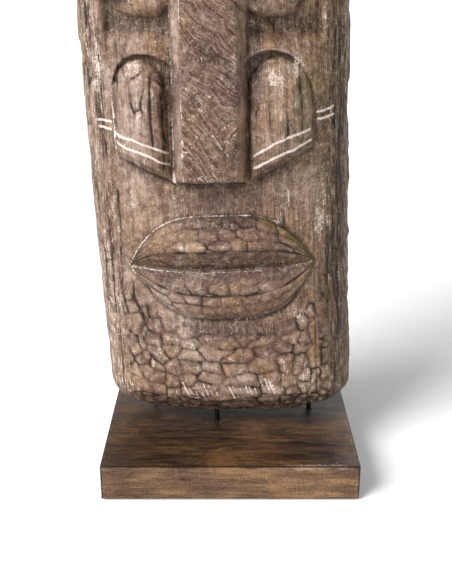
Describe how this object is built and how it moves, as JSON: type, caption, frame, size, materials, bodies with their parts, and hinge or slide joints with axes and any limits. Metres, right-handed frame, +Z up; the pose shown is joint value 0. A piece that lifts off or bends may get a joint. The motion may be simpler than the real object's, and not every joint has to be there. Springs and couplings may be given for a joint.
{
  "type": "tiki figure",
  "caption": "Tall carved wooden tiki face with long nose, striped cheeks and wide lips, standing clear of a square mitred wooden plinth on steel pins.",
  "frame": {"origin": "middle of the plinth's underside, where it rests", "axes": "+Z up along the figure, -Y the way its face looks, +X towards the face's own left"},
  "size_m": [0.321, 0.3, 0.9999],
  "materials": {
    "carved_wood": "brown wood, crackled, drybrushed with worn white",
    "plinth_wood": "dark walnut stain, satin, worn edges",
    "block_wood": "raw planed softwood",
    "plywood": "raw plywood",
    "felt": "pressed felt",
    "pin_steel": "blackened steel",
    "screw_steel": "zinc plated"
  },
  "bodies": {
    "base": {"top_board": "plinth_wood", "front_board": "plinth_wood", "back_board": "plinth_wood", "left_board": "plinth_wood", "right_board": "plinth_wood", "pin_block": "block_wood", "corner_block_1": "block_wood", "corner_block_2": "block_wood", "corner_block_3": "block_wood", "corner_block_4": "block_wood", "bottom_panel": "plywood", "felt_sheet": "felt", "front_pin": "pin_steel", "right_pin": "pin_steel", "left_pin": "pin_steel", "block_screws": "screw_steel", "panel_screws": "screw_steel"},
    "figure": {"carved_figure": "carved_wood"}
  },
  "joints": [
    {"name": "figure_lift", "type": "slide", "parent": "base", "child": "figure", "axis": [0, 0, 1], "range_m": [0, 0.08]}
  ]
}
